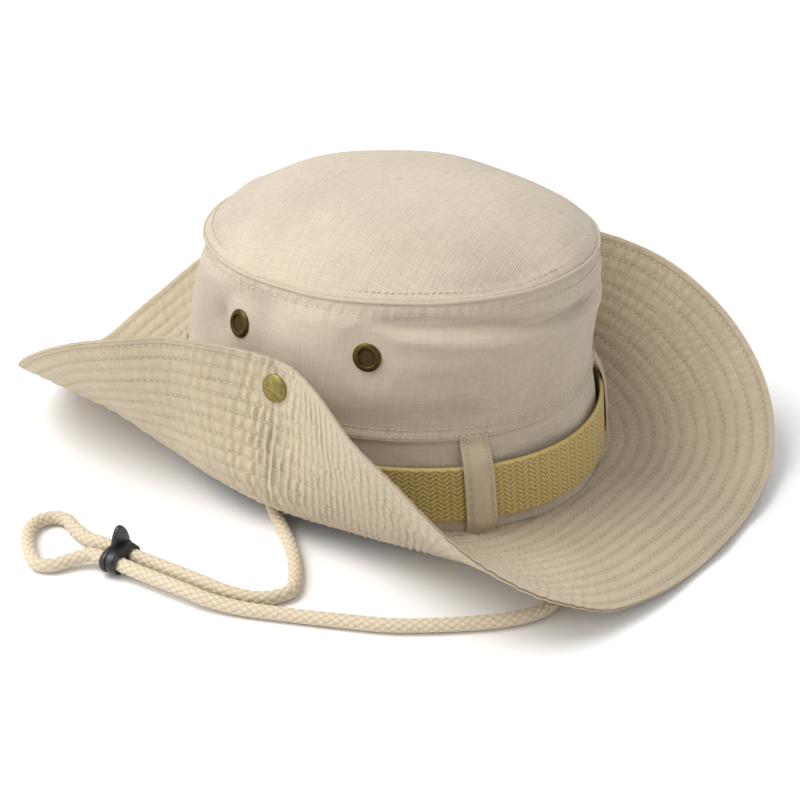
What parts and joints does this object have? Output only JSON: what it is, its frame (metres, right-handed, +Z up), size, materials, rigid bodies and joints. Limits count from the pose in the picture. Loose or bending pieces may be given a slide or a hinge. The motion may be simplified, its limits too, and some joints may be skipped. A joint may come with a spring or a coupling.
{
  "type": "boonie hat",
  "caption": "Soft wide-brimmed sun hat with snap-up side brims, webbing band, mesh vents and a braided chin cord with a sliding toggle.",
  "frame": {"origin": "on the surface that the hat stands on, under the middle of the hat's box without its chin cord", "axes": "+Z up; the hat faces -Y, so +Y runs from front to back; the wearer's right is -X"},
  "size_m": [0.291, 0.3408, 0.1395],
  "materials": {
    "crown_cloth": "ripstop cotton twill, matt, sand",
    "brim_cloth": "quilted cotton twill with rows of stitching, matt",
    "loop_cloth": "folded cotton twill, edge stitched",
    "lining_cloth": "folded cotton twill",
    "webbing": "woven polypropylene webbing, olive gold, slight sheen",
    "antique_brass": "antique brass, stamped, dark in the hollows",
    "vent_mesh": "fine dark wire mesh",
    "cotton_cord": "natural cotton, diamond braided",
    "toggle_plastic": "moulded black nylon, satin"
  },
  "bodies": {
    "root": {"crown_top": "crown_cloth", "crown_side": "crown_cloth", "crown_band": "crown_cloth", "sweatband": "lining_cloth", "brim_upper_front": "brim_cloth", "brim_upper_back": "brim_cloth", "brim_lower_front": "brim_cloth", "brim_lower_back": "brim_cloth", "webbing_band": "webbing", "belt_loop_front_right": "loop_cloth", "belt_loop_front_left": "loop_cloth", "belt_loop_back_left": "loop_cloth", "belt_loop_back_right": "loop_cloth", "vent_rims": "antique_brass", "vent_screens": "vent_mesh", "vent_washers": "antique_brass", "right_snap_stud": "antique_brass", "right_snap_post": "antique_brass", "left_snap_stud": "antique_brass", "left_snap_post": "antique_brass", "cord_tab_right": "lining_cloth", "cord_tab_left": "lining_cloth", "chin_cord": "cotton_cord"},
    "right_flap": {"right_flap_upper": "brim_cloth", "right_flap_lower": "brim_cloth", "right_snap_cap": "antique_brass", "right_snap_socket": "antique_brass"},
    "left_flap": {"left_flap_upper": "brim_cloth", "left_flap_lower": "brim_cloth", "left_snap_cap": "antique_brass", "left_snap_socket": "antique_brass"},
    "toggle": {"cord_toggle": "toggle_plastic"}
  },
  "joints": [
    {"name": "right_flap_fold", "type": "hinge", "parent": "root", "child": "right_flap", "pos_m": [-0.088, 0, 0.015], "axis": [0, -1, 0], "range_deg": [0, 65]},
    {"name": "left_flap_fold", "type": "hinge", "parent": "root", "child": "left_flap", "pos_m": [0.088, 0, 0.015], "axis": [0, 1, 0], "range_deg": [0, 65]},
    {"name": "toggle_slide", "type": "slide", "parent": "root", "child": "toggle", "axis": [0, -1, 0], "range_m": [0, 0.032]}
  ]
}
